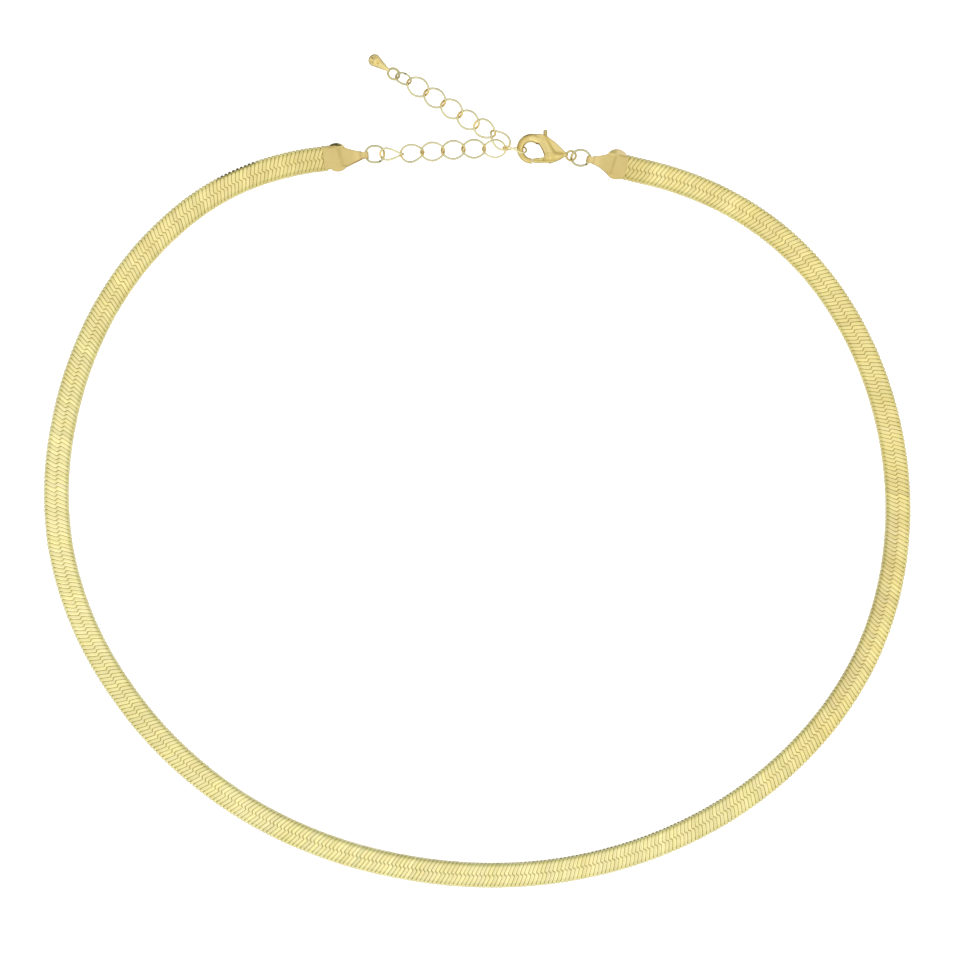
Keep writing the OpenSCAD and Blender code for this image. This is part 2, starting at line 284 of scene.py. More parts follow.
def place(points, row):
    """Moves points from a piece's own frame; row is x, y, z, heading, pitch, roll."""
    x, y, z, heading, pitch, roll = row
    turn = (Matrix.Rotation(math.radians(heading), 3, "Z")
            @ Matrix.Rotation(math.radians(-pitch), 3, "Y")
            @ Matrix.Rotation(math.radians(roll), 3, "X"))
    return np.asarray(points) @ np.array(turn).T + (x, y, z)


def place_flat(points, at, degrees):
    """Moves points from the frame of a piece that is only turned in the plane."""
    c, s = math.cos(math.radians(degrees)), math.sin(math.radians(degrees))
    x, y, z = points.T
    return np.stack([at[0] + x * c - y * s, at[1] + x * s + y * c, at[2] + z], -1)


# ---- the band's line
BAND_W, BAND_T = 4.4, 1.1
CAP_T, CAP_END, CAP_GRIP, LIFT_RUN = 1.76, 6.85, 3.0, 16.0
# the middle of the front, and the arcs from there to each cap: radius, degrees
FRONT = (2.05, -62.08)
RIGHT_BENDS = ((81, 14), (74.5, 15.5), (67, 18), (60.5, 21.5), (59, 22),
               (67, 19.5), (62.5, 14), (50, 26), (55, 14.5), (80, 3.6))
LEFT_BENDS = ((83.5, 13), (79.5, 14), (75.5, 15.5), (68, 18), (60, 21.5), (60, 22),
              (66, 20), (54, 16.5), (43, 20.5), (52, 8.5), (50, 4.2))
BEND_STEP = 0.5
# bore of each cap's bail and the direction from there to the band
CAP_LEFT, CAP_RIGHT = (-19.52, 62.07, 185.0), (19.48, 61.22, -12.0)


def bends_route(bends, side, start):
    x, y, heading = start
    places = [(x, y, heading)]
    for radius, turn in bends:
        steps = int(math.ceil(turn / BEND_STEP))
        d, r = side * turn / steps, side * radius
        for _ in range(steps):
            a, b = math.radians(heading), math.radians(heading + d)
            x, y = x + r * (math.sin(b) - math.sin(a)), y - r * (math.cos(b) - math.cos(a))
            heading += d
            places.append((x, y, heading))
    return places


def band_line():
    """The band's middle from the left cap round the front to the right cap: x, y, heading."""
    left = [(x, y, h - 180) for x, y, h in reversed(bends_route(LEFT_BENDS, -1, (*FRONT, 180)))]
    right = bends_route(RIGHT_BENDS, 1, (*FRONT, 0))

    def station(cap, d, heading):
        a = math.radians(cap[2])
        return (cap[0] + d * math.cos(a), cap[1] + d * math.sin(a), heading)

    line = [station(CAP_LEFT, d, CAP_LEFT[2] - 360) for d in (CAP_GRIP, CAP_END)]
    line += left[:-1] + right
    line += [station(CAP_RIGHT, d, CAP_RIGHT[2] + 180) for d in (CAP_END, CAP_GRIP)]
    return np.array(line)


LINE = band_line()
RUN = np.concatenate(([0], np.cumsum(np.hypot(*np.diff(LINE[:, :2], axis=0).T))))
LENGTH = RUN[-1]
# how far inwards the band lies off its arcs, by the distance along it
BEND_RUN = (6, 16, 34, 52, 72, 94, 122, 152, 180, 206, 250, 274, 296, 342, 372, 382)
BEND_IN = (0, 0, 0.15, 0.1, 0.27, -0.05, 0.21, -0.03, 0.08, -0.11, -0.14, -0.29, 0, 0.1, 0.06, 0)


def band_point(s, inward, up):
    """Points from the distance along the band, the distance inwards of its middle, and the height."""
    x, y, heading = (np.interp(s, RUN, LINE[:, k]) for k in range(3))
    a = np.radians(heading)
    inward = inward + np.interp(s, BEND_RUN, BEND_IN)
    away = np.minimum(*(np.hypot(x - c[0], y - c[1]) for c in (CAP_LEFT, CAP_RIGHT))) - CAP_END
    lift = (CAP_T - BAND_T) / 2 * eased(away, LIFT_RUN, 0)
    return np.stack([x - inward * np.sin(a), y + inward * np.cos(a), up + lift], -1)


# ---- the band's links
PITCH, STRIP_HALF, BAND_MARGIN, BAND_PIECES = 0.7, 0.15, 2.6, 4
FLAT = BAND_W / 2 - BAND_T / 2
# a link's path over the top of the band: inward, along, width, dip
ROWS = np.array([
    (1.66, 0.66, 0.93, 0.01), (1.5, 0.58, 1, 0), (1.2, 0.42, 1, 0), (0.85, 0.24, 1, 0),
    (0.52, 0.1, 0.99, 0), (0.3, 0.02, 0.96, 0), (0.18, 0, 0.88, 0.02), (0.1, 0.04, 0.84, 0.05),
    (0, 0.15, 0.84, 0.06), (-0.1, 0.28, 0.88, 0.04), (-0.2, 0.33, 0.96, 0.01), (-0.4, 0.3, 1, 0),
    (-0.75, 0.15, 1, 0), (-1.15, -0.04, 1, 0), (-1.5, -0.2, 0.98, 0), (-1.66, -0.27, 0.9, 0.02),
])
# its fold over each side of the band: outwards, up, direction of the outside in degrees, along
INNER_RIM = np.array([
    (0.03, 0.4, 88, 0.01), (0.045, 0.375, 56, 0.03), (0.27, 0.145, 48, 0.08), (0.365, 0.035, 22, 0.09),
    (0.4, 0.0, 0, 0.1),
])
OUTER_RIM = np.array([
    (0.02, 0.395, 88, 0.01), (0.08, 0.386, 74, 0.03), (0.285, 0.3, 60, 0.08), (0.377, 0.164, 35, 0.09),
    (0.4, 0.0, 0, 0.1),
])
# how round the strip is at the folds
INNER_CLOSE, OUTER_CLOSE = 0.62, 1.0
# the outer fold of the links that are bent over more steeply, and where along the band they are
BEAD_RIM = np.array([
    (0.0, 0.395, 88, 0.01), (0.03, 0.37, 58, 0.03), (0.194, 0.194, 45, 0.07), (0.33, 0.03, 38, 0.09),
    (0.4, 0.0, 0, 0.1),
])
BEAD_RUN, BEAD_SHARE = (15.2, 16.4, 21.8, 23.2), (0.0, 1.0, 1.0, 0.0)
# how much more the links lean towards the right cap
LEAN_RUN, LEAN_SHARE = (374.0, 380.0), (1.0, 1.15)
# the strip's section, across and outwards: on the flat, round the rims, and round the steeper rim
STRIP_FLAT = np.array([
    (-0.325, -0.12), (-0.33, 0.085), (-0.3, 0.13), (-0.2, 0.147), (0.1, 0.15),
    (0.28, 0.138), (0.33, 0.085), (0.325, -0.12),
])
STRIP_RIM = np.array([
    (-0.318, -0.14), (-0.316, 0.04), (-0.27, 0.105), (-0.13, 0.147), (0.13, 0.147),
    (0.27, 0.105), (0.316, 0.04), (0.318, -0.14),
])
STRIP_BEAD = np.array([
    (-0.27, -0.14), (-0.265, 0.0), (-0.215, 0.085), (-0.1, 0.145), (0.1, 0.145),
    (0.215, 0.085), (0.265, 0.0), (0.27, -0.14),
])
STRIP_SIDES = len(STRIP_FLAT)
# how far single links stray: along the band, tilted in degrees, sunk, and in tone, green and blue
STRAY_ALONG, STRAY_TILT, STRAY_SINK = 0.006, 2.2, 0.012
STRAY_TONE, STRAY_GREEN, STRAY_BLUE = 0.035, 0.008, 0.03


def link_path(bead, lean):
    """Closed path of a link: along, inward, up, outward normal (inward, up), width, roundness."""
    outer_rim = OUTER_RIM * (1 - bead) + BEAD_RIM * bead
    mid = BAND_T / 2
    face = mid - STRIP_HALF
    path = []

    def rim(row, side, top):
        out, up, angle, extra = row
        close = INNER_CLOSE if side > 0 else OUTER_CLOSE
        end = ROWS[0, 1] if side > 0 else ROWS[-1, 1]
        c, s = side * math.cos(math.radians(angle)), top * math.sin(math.radians(angle))
        path.append((lean * end + side * extra, side * (FLAT + out), mid + top * up, c, s, 1.0, close))

    for row in INNER_RIM[::-1]:
        rim(row, 1, 1)
    for x, u, width, dip in ROWS:
        path.append((lean * u, x, mid + face - dip, 0, 1, width, 0.0))
    for row in outer_rim:
        rim(row, -1, 1)
    for row in outer_rim[-2::-1]:
        rim(row, -1, -1)
    for x, u, width, dip in ROWS[::-2]:
        path.append((lean * u, x, mid - face + dip, 0, -1, width, 0.0))
    for row in INNER_RIM[:-1]:
        rim(row, 1, -1)
    return np.array(path)


def link_points(s0, path, bead):
    """The strip of the link at distance s0: its section, tilted and sunk a little, along its path."""
    tilt = rng.normal(0, math.radians(STRAY_TILT))
    sink = abs(rng.normal(0, STRAY_SINK))
    along, inward, up, normal_in, normal_up, width, close = path.T[:, :, None]
    beaded = bead * (inward < -FLAT)[:, :, None]
    close = close[:, :, None]
    rounded = STRIP_RIM * (1 - beaded) + STRIP_BEAD * beaded
    section = STRIP_FLAT * (1 - close) + rounded * close
    wide, high = section[:, :, 0] * width, section[:, :, 1]
    c, s = math.cos(tilt), math.sin(tilt)
    along = along + (wide * c - high * s)
    out = wide * s + high * c - sink
    up = np.clip(up + normal_up * out, 0.0, BAND_T)
    return band_point((s0 + along).ravel(), (inward + normal_in * out).ravel(), up.ravel())


# the plating's tone drifts along the band: share of the warmer tone, and of the painted shade where the band
# runs into the caps
WARM_RUN, WARM_SHARE = (0, 45, 75, 235, 262, 386), (1.0, 0.8, 0.1, 0.0, 1.0, 1.0)
WARM_LOSS = (0.02, 0.045, 0.17)
CAP_SHADE_RUN, CAP_SHADE_SHARE = (0, 4.0, 12.0, 378.4, 380.6, 386.0), (0.7, 0.6, 0.0, 0.0, 0.8, 1.0)
CAP_SHADE_TONE = (0.84, 0.8, 0.72)
# painted shade on the steeper folds, darkest in the middle of the strip
BEAD_SHADE_TONE, BEAD_FROM = (0.3, 0.3, 0.22), FLAT + 0.05
BEAD_ACROSS = (0, 0.3, 0.8, 1, 1, 0.8, 0.3, 0)
# painted shade on the slope of the inner and the outer rim, more where they face the back
SLOPE, SLOPE_SHADE_TONE = (FLAT - 0.29, FLAT - 0.01), (0.8, 0.82, 0.74)
SLOPE_SHARE, SLOPE_BACK = (1.0, 0.6), 0.35
# a painted highlight at the outline of the rim that faces the back, turned some degrees to the left
RIM_FROM, RIM_HIGHLIGHT_TONE, BACK_TURN = FLAT + 0.25, (1.07, 1.12, 1.32), 20.0
# painted shade makes the row of crossings in the middle a little darker
CENTRE, CENTRE_SHADE_TONE = (0.25, 0.05), (0.94, 0.94, 0.92)
# the inner half is darker on the right of the picture
SHADED_RUN, SHADED_SHARE = (254, 266, 296, 306), (0.0, 1.0, 1.0, 0.0)
SHADED_ACROSS, SHADED_TONE = (-0.7, 0.3), (0.88, 0.87, 0.91)


def link_tones(s0, path, bead):
    """Tones of the points of the link at distance s0."""
    inward, across = path[:, 1], np.abs(path[:, 1])
    loss = 1 - np.array(WARM_LOSS) * np.interp(s0, WARM_RUN, WARM_SHARE)
    tone = (1 + rng.normal(0, STRAY_TONE)) * loss[0]
    green = tone * (1 + rng.normal(0, STRAY_GREEN)) * loss[1]
    blue = tone * (1 + rng.normal(0, STRAY_BLUE)) * loss[2]
    # painted shade on the steeper folds
    folded = bead * (inward[:, None] < -BEAD_FROM) * np.array(BEAD_ACROSS)
    to_back = np.cos(np.radians(np.interp(s0, RUN, LINE[:, 2]) - BACK_TURN))
    to_back = np.clip(to_back * inward / FLAT, 0, 1)
    slope = np.where(inward > 0, *SLOPE_SHARE) + SLOPE_BACK * to_back
    slope = slope * eased(across, *SLOPE) * (across < RIM_FROM)
    shaded = np.interp(s0, SHADED_RUN, SHADED_SHARE) * eased(inward, *SHADED_ACROSS)
    tones = toned(folded.ravel(), BEAD_SHADE_TONE) * (tone, green, blue, 1)
    # painted shade on the rims' slopes, at the crossings and on the inner half on the right; a painted
    # highlight at the back rim's outline
    for share, colour in ((slope, SLOPE_SHADE_TONE), (to_back * (across > RIM_FROM), RIM_HIGHLIGHT_TONE),
                          (eased(across, *CENTRE), CENTRE_SHADE_TONE), (shaded, SHADED_TONE)):
        tones *= toned(np.repeat(share, STRIP_SIDES), colour)
    # painted shade where the band runs into the caps
    return tones * toned(np.interp([s0], CAP_SHADE_RUN, CAP_SHADE_SHARE), CAP_SHADE_TONE)


def band_links(count_from, count_to, total):
    points, faces, tones = [], [], []
    base = tube_faces(len(link_path(0, 1)), STRIP_SIDES, True)
    for i in range(count_from, count_to):
        s0 = BAND_MARGIN + (LENGTH - 2 * BAND_MARGIN) * (i + 0.5) / total + rng.normal(0, STRAY_ALONG)
        bead = np.interp(s0, BEAD_RUN, BEAD_SHARE)
        path = link_path(bead, np.interp(s0, LEAN_RUN, LEAN_SHARE))
        ring = link_points(s0, path, bead)
        offset = len(points) * len(ring)
        points.append(ring)
        faces += [tuple(v + offset for v in f) for f in base]
        tones.append(link_tones(s0, path, bead))
    return np.concatenate(points), faces, np.concatenate(tones)


# the core, a darker gold as painted shade between the links: how much thinner and narrower it is, its ends
# and its rings
CORE_IN_T, CORE_IN_W, CORE_FROM, CORE_RINGS = 0.24, 0.26, 2.0, 260


def add_band():
    total = int(round((LENGTH - 2 * BAND_MARGIN) / PITCH))
    for k in range(BAND_PIECES):
        points, faces, tones = band_links(total * k // BAND_PIECES, total * (k + 1) // BAND_PIECES, total)
        mesh_piece("band_links_" + str(k + 1), points, faces, BAND_GOLD, "necklace",
                   node="herringbone_band", tone=tones)
    half_t, half_w = BAND_T / 2 - CORE_IN_T, BAND_W / 2 - CORE_IN_W
    outline = np.array([(side * (half_w - half_t) + half_t * math.cos(a), half_t * math.sin(a))
                        for side, angles in ((1, (-90, -45, 0, 45, 90)), (-1, (90, 135, 180, 225, 270)))
                        for a in np.radians(angles)])
    inward, up = outline[:, 0], outline[:, 1] + BAND_T / 2
    points = np.concatenate([band_point(np.full(len(outline), s), inward, up)
                             for s in np.linspace(CORE_FROM, LENGTH - CORE_FROM, CORE_RINGS)])
    mesh_piece("band_core", points, tube_faces(CORE_RINGS, len(outline), False), CORE_SHADE_GOLD, "necklace",
               node="herringbone_band")


add_band()

# ---- extender links and rings
# places of the links from the left jump ring on: x, y, z, heading, pitch, roll
LINKS = (
    (-14.78, 62.2, 1.52, 0, 5, 60),
    (-11.26, 62.34, 1.17, 4, -10, 22.5),
    (-7.73, 62.67, 0.74, 4, -3, 6),
    (-4.19, 62.96, 0.56, 5, 0, 0),
    (-0.66, 63.15, 0.68, 1, 3, -2),
    (2.9, 63.17, 1.03, -2, 10, -12),
    (6.434, 63.065, 1.716, -6.4, -2.2, -82.3),
    (3.83, 64.72, 1.82, -45, 0, -33),
    (1.29, 66.55, 1.1, -30, 5, 22),
    (-1.57, 68.1, 0.78, -31, 5, 9),
    (-4.45, 70.02, 0.6, -33, 0, 3),
    (-7.37, 71.93, 0.56, -33, 0, 0),
    (-10.28, 73.83, 0.6, -33, 0, -2),
)
LINK_LEN, LINK_W, LINK_WIRE, LINK_TWIST = 4.3, 3.42, 0.3, 30.0
# the wire as it is shown, and thinner in the links with the tightest gaps
LINK_SHOWN, THIN_LINKS = 0.38, {6: 0.33, 7: 0.3}
# the links that stand on edge catch more light in the photo than a clean side reflects
LINK_LIGHT = {1: 1.22, 6: 1.08, 7: 1.28, 8: 1.12, 9: 1.22, 10: 1.1, 11: 1.06}
LINK_STEPS, WIRE_SIDES, STRAY_LINK_TONE = 56, 12, 0.03
# the ends, where links meet, with a painted orange reflection, by the cosine of the turn
MEETING_FROM, MEETING_FULL, MEETING_REFLECTION_TONE = 0.8, 0.97, (1.12, 0.95, 0.62)


def add_links():
    t = np.linspace(0, 2 * math.pi, LINK_STEPS, endpoint=False)
    a, b = (LINK_LEN - LINK_WIRE) / 2, (LINK_W - LINK_WIRE) / 2
    lean = np.radians(LINK_TWIST) * np.cos(t)
    centres = np.stack([a * np.cos(t), b * np.sin(t) * np.cos(lean), b * np.sin(t) * np.sin(lean)], -1)
    meeting = eased(np.abs(np.repeat(np.cos(t), WIRE_SIDES)), MEETING_FROM, MEETING_FULL)
    for i, row in enumerate(LINKS):
        points, faces = wire(centres, THIN_LINKS.get(i + 1, LINK_SHOWN) / 2, WIRE_SIDES)
        light = LINK_LIGHT.get(i + 1, 1.0)
        tone = toned(meeting, MEETING_REFLECTION_TONE) * (1 + rng.normal(0, STRAY_LINK_TONE)) * light
        name = "extender_link_%02d" % (i + 1)
        mesh_piece(name + "_wire", place(points, row), faces, WIRE_GOLD, "necklace", node=name,
                   tone=tone)


# rings: node, length, width, wire, place, turn of the slit
RINGS = (
    ("jump_ring_left", 3.65, 3.2, 0.37, (-17.7, 62.2, 1.1, 0, 8, 0), 300),
    ("jump_ring_right", 3.6, 3.6, 0.37, (17.79, 61.565, 1.107, -10.5, -6.65, 33.8), 322),
    ("jump_ring_small", 3.05, 2.8, 0.32, (-12.77, 75.23, 1.08, -26, 0, 47), 93),
)
# how much thicker the wire is shown, and how sharply a long ring's straight sides begin
RING_STEPS, RING_EXTRA, RING_SHOULDER, RING_TONE = 96, 0.03, 4, (0.86, 0.88, 0.84, 1)
# degrees off the slit and off the places with painted reflection where links meet, where their tones start
# and are full
SLIT, SLIT_TONE = (6.0, 3.0), (0.22, 0.2, 0.16)
RING_MEETING, RING_MEETING_AT = (34.0, 13.6), (0, 180)


def add_rings():
    turns = np.arange(RING_STEPS) * 360 / RING_STEPS
    a = np.radians(turns)
    meeting = sum(eased(off(turns, at), *RING_MEETING) for at in RING_MEETING_AT)
    for node, length, width, wire_d, row, slit in RINGS:
        bend, stretch = (width - wire_d) / 2, (length - width) / 2
        ends = np.clip(np.cos(a) * RING_SHOULDER, -1, 1) * stretch
        centres = np.stack([bend * np.cos(a) + ends, bend * np.sin(a), np.zeros(RING_STEPS)], -1)
        points, faces = wire(centres, (wire_d + RING_EXTRA) / 2, WIRE_SIDES)
        cut = eased(off(turns, slit), *SLIT)
        tone = RING_TONE * toned(np.repeat(meeting, WIRE_SIDES), MEETING_REFLECTION_TONE)
        mesh_piece(node + "_wire", place(points, row), faces, WIRE_GOLD, "necklace", node=node,
                   tone=tone * toned(np.repeat(cut, WIRE_SIDES), SLIT_TONE))


add_links()
add_rings()


# ---- distance fields
def smooth_min(a, b, k):
    """The lesser of two distances, with the joint between them rounded over a width k."""
    h = np.clip(0.5 + 0.5 * (b - a) / k, 0, 1)
    return b + (a - b) * h - k * h * (1 - h)


def smooth_max(a, b, k):
    return -smooth_min(-a, -b, k)


def from_segment(x, y, a, b):
    """The nearest place on a segment, as a share of it, and the offset from there in the plane."""
    ex, ey, wx, wy = b[0] - a[0], b[1] - a[1], x - a[0], y - a[1]
    t = np.clip((wx * ex + wy * ey) / (ex * ex + ey * ey), 0, 1)
    return t, wx - ex * t, wy - ey * t


def path_distance(x, y, path):
    """Distance in the plane to an open path."""
    return np.minimum.reduce([np.hypot(*from_segment(x, y, a, b)[1:]) for a, b in zip(path, path[1:])])


def polygon_distance(x, y, corners):
    """Signed distance in the plane to a closed polygon, negative inside."""
    best, sign = np.full(x.shape, np.inf), np.ones(x.shape)
    for i, (ax, ay) in enumerate(corners):
        bx, by = corners[i - 1]
        _, u, v = from_segment(x, y, (ax, ay), (bx, by))
        best = np.minimum(best, u ** 2 + v ** 2)
        above, below, left = y >= ay, y < by, (bx - ax) * (y - ay) > (by - ay) * (x - ax)
        sign = np.where((above & below & left) | (~above & ~below & ~left), -sign, sign)
    return sign * np.sqrt(best)


def slab(flat, z, half, edge):
    """A flat form from its outline's distance and its half thickness, with rounded edges."""
    u, v = flat + edge, np.abs(z) - half + edge
    return np.hypot(np.maximum(u, 0), np.maximum(v, 0)) + np.minimum(np.maximum(u, v), 0) - edge


def tapered(x, y, z, path, blend):
    """Tube along a path in the plane. Rows: x, y, half width, half thickness."""
    total = None
    for a, b in zip(path, path[1:]):
        t, u, v = from_segment(x, y, a, b)
        wide, high = a[2] + (b[2] - a[2]) * t, a[3] + (b[3] - a[3]) * t
        d = np.sqrt(u ** 2 + v ** 2 + (z * wide / high) ** 2) - wide
        if total is None:
            total = d
        else:
            total = smooth_min(total, d, blend) if blend else np.minimum(total, d)
    return total


def ring_field(x, y, z, at, radius, wire_r):
    return np.hypot(np.hypot(x - at[0], y - at[1]) - radius, z) - wire_r


# how field_mesh settles points on the surface: rounds, reach and longest move in steps, least slope squared
SETTLE_ROUNDS, SETTLE_REACH, SETTLE_MOVE, SETTLE_SLOPE = 3, 0.2, 0.5, 0.2


def neighbour_cells(index, j, m, corners):
    """Indices of the cells round grid edges, one array for each corner."""
    for dj, dm in corners:
        cell = index.copy()
        cell[:, j] -= dj
        cell[:, m] -= dm
        yield tuple(cell.T)


def field_mesh(field, low, high, step):
    """Surface of a distance field as quads, with one point in each cell that it crosses."""
    low, high = np.array(low, float), np.array(high, float)
    counts = np.ceil((high - low) / step).astype(int) + 1
    axes = [low[k] + step * np.arange(counts[k]) for k in range(3)]
    f = field(*np.meshgrid(*axes, indexing="ij"))
    inside = f < 0
    cells = tuple(counts - 1)
    total, number = np.zeros(cells + (3,)), np.zeros(cells)
    crossings = []
    for k in range(3):
        j, m = [a for a in range(3) if a != k]
        here, there = [slice(None)] * 3, [slice(None)] * 3
        here[k], there[k] = slice(0, -1), slice(1, None)
        here, there = tuple(here), tuple(there)
        index = np.argwhere(inside[here] != inside[there])
        across = index[:, (j, m)]
        index = index[((across > 0) & (across < counts[[j, m]] - 1)).all(1)]
        a, b = f[here][tuple(index.T)], f[there][tuple(index.T)]
        point = low + step * index
        point[:, k] += step * a / (a - b)
        for cell in neighbour_cells(index, j, m, ((0, 0), (0, 1), (1, 0), (1, 1))):
            np.add.at(total, cell, point)
            np.add.at(number, cell, 1)
        crossings.append((k, j, m, index, a < 0))
    active = number > 0
    order = -np.ones(cells, int)
    order[active] = np.arange(active.sum())
    points = total[active] / number[active][:, None]
    faces = []
    for k, j, m, index, leaving in crossings:
        corners = neighbour_cells(index, j, m, ((0, 0), (1, 0), (1, 1), (0, 1)))
        quad = np.stack([order[cell] for cell in corners], -1)
        turned = leaving if k != 1 else ~leaving
        quad[~turned] = quad[~turned][:, ::-1]
        faces.append(quad)
    h = step * SETTLE_REACH
    for _ in range(SETTLE_ROUNDS):
        x, y, z = points.T
        slope = np.stack([field(x + h, y, z) - field(x - h, y, z), field(x, y + h, z) - field(x, y - h, z),
                          field(x, y, z + h) - field(x, y, z - h)], -1) / (2 * h)
        steep = np.maximum((slope ** 2).sum(-1, keepdims=True), SETTLE_SLOPE)
        move = field(x, y, z)[:, None] * slope / steep
        points = points - np.clip(move, -SETTLE_MOVE * step, SETTLE_MOVE * step)
    return points, np.concatenate(faces)


# ---- end caps
# a grid is its lowest corner, its highest corner and its step
CAP_GRID = ((-1.05, -2.75, -1.0), (7.35, 2.95, 1.0), 0.055)
CAP_FOLD, CAP_EDGE, CAP_BLEND = 1.85, 0.09, 0.03
# the ears: how far below the cap's faces and from how far inside the fold, their slope past the knee, their
# least half thickness and the rounding of their edges
EAR_DROP, EAR_INSIDE, EAR_BEYOND, EAR_LEAST, EAR_EDGE = 0.07, 0.3, 0.12, 0.15, 0.1
BAIL_R, BAIL_TIP, BAIL_BLEND, BORE_R, BORE_BLEND = 0.88, 0.76, 0.3, 0.62, 0.04
MOUTH_X, MOUTH_W, MOUTH_T, MOUTH_CORNER = 4.85, 2.27, 0.63, 2.4
# Each cap: half thickness along it, how far its crease is askew, where the plate ends, where the crease's
# shade lies and how much of it is left at the bottom of the picture, and its sides, -1 for -y and 1 for +y.
# Each side: taper, the ear's round outline (along, across, radius), where across the ear starts to fall, how
# steeply and how far down (by the distance along), how dark the painted shade on the taper's edge is (by the
# distance along) and how far inwards, and the bail's half width.
CAP_FORMS = {
    "end_cap_left": {
        "heights": ((-1, 0.43), (1.3, 0.44), (3.3, 0.53), (3.9, 0.66), (4.45, 0.86), (4.8, 0.88), (9, 0.88)),
        "askew": 0.18, "end": 7.08, "bend": (3.82, 4.3, 0.22), "bend_top": 0.5,
        -1: {"taper": ((-0.3, 0.48), (0, 0.52), (0.69, 0.68), (1.54, 0.91), (2.38, 1.19), (3.04, 1.46),
                       (3.7, 1.82)),
             "ear": (4.8, 0.62, 1.88), "start": 1.96, "slope": 1.25, "knee": ((3.9, 0.16), (4.6, 0.6)),
             "edge": ((-0.4, 0), (0, 0.3), (2.0, 0.5), (3.2, 0.3), (3.6, 0)), "depth": 0.14, "bail": 0.52},
        1: {"taper": ((-0.3, 0.54), (0, 0.6), (0.14, 0.66), (1.73, 1.27), (3.14, 1.84), (3.3, 1.86)),
            "ear": (4.65, 0.6, 1.86), "start": 1.8, "slope": 0.22, "knee": ((0, 1.0),),
            "edge": ((-0.4, 0), (0, 0.4), (0.5, 0.8), (1.2, 1.0), (1.8, 0.9), (2.6, 0.5), (3.3, 0.3),
                     (3.7, 0)),
            "depth": 0.3, "bail": 0.66},
    },
    "end_cap_right": {
        "heights": ((-1, 0.43), (1.3, 0.46), (3.65, 0.79), (3.9, 0.74), (4.25, 0.86), (4.7, 0.88), (9, 0.88)),
        "askew": -0.1, "end": 6.42, "bend": (3.9, 4.08, 0.26), "bend_top": 0.9,
        -1: {"taper": ((-0.3, 0.45), (0.39, 0.54), (1.9, 1.02), (2.9, 1.57), (3.35, 1.84)),
             "ear": (4.62, 0.6, 1.8), "start": 1.8, "slope": 0.16, "knee": ((0, 1.0),),
             "edge": ((-0.4, 0), (0, 0.2), (1.5, 0.35), (3.3, 0.35), (3.6, 0)), "depth": 0.16, "bail": 0.54},
        1: {"taper": ((-0.3, 0.5), (0, 0.55), (1.46, 1.05), (2.27, 1.38), (2.81, 1.7), (3.2, 1.84)),
            "ear": (4.46, 0.88, 1.92), "start": 1.8, "slope": 0.28, "knee": ((0, 1.0),),
            "edge": ((-0.4, 0), (0, 0.2), (2.5, 0.2), (3.2, 0)), "depth": 0.12, "bail": 0.6},
    },
}
# The caps' tones. "Up" is across the cap towards the top of the picture. Windows are from, to and softness,
# and a pair of plain numbers is where a share starts and where it is full.
# painted shade on the taper's edges: its tone, and where it is full as a share of the depth
CAP_EDGE_SHADE_TONE, CAP_EDGE_SHADE_FULL = (0.5, 0.38, 0.28), 0.4
# painted shade in the cap's bend: tone, its window up, and where it rises from the bend_top share to full
CAP_BEND_SHADE_TONE, CAP_BEND_UP, CAP_BEND_RISE = (0.9, 0.9, 0.84), (-1.7, 1.7, 0.15), (-1.0, 0.8)
# a painted highlight on the neck near the bail
BAIL_HIGHLIGHT_TONE, BAIL_ALONG, BAIL_END, BAIL_REST = (1.3, 1.28, 1.45), (-1.0, 1.2, 1.0), (-0.2, -0.55), 0.35
# the upper ears: painted shade on the left cap, in windows along and up; on the right one a rosy painted
# highlight with olive painted shade at its edge
EAR_SHADE_TONE = (0.32, 0.34, 0.22)
EAR_SHADES = (((4.55, 5.5, 0.35), (2.08, 2.46, 0.1)), ((3.95, 4.6, 0.2), (1.9, 2.06, 0.1)))
EAR_UP, EAR_ROSY, EAR_OLIVE = (CAP_FOLD - 0.02, CAP_FOLD + 0.1), (3.9, 4.6), (4.4, 3.6)
EAR_ROSY_HIGHLIGHT, EAR_OLIVE_SHADE = (1.12, 1.13, 1.42), (0.74, 0.8, 0.74)
# a painted highlight on the fold and painted shade beside it: tone, windows along and up
CAP_PATCHES = (
    ((1.1, 1.12, 1.2), (2.8, 4.6, 0.6), (CAP_FOLD - 0.22, CAP_FOLD - 0.02, 0.12)),
    ((0.86, 0.84, 0.76), (4.8, 5.8, 0.6), (1.6, 1.84, 0.14)),
)


def cap_outline(form):
    end, low, high = form["end"], form[-1]["taper"], form[1]["taper"]
    return list(high) + [(end, CAP_FOLD), (end, -CAP_FOLD)] + [(x, -y) for x, y in low[::-1]]


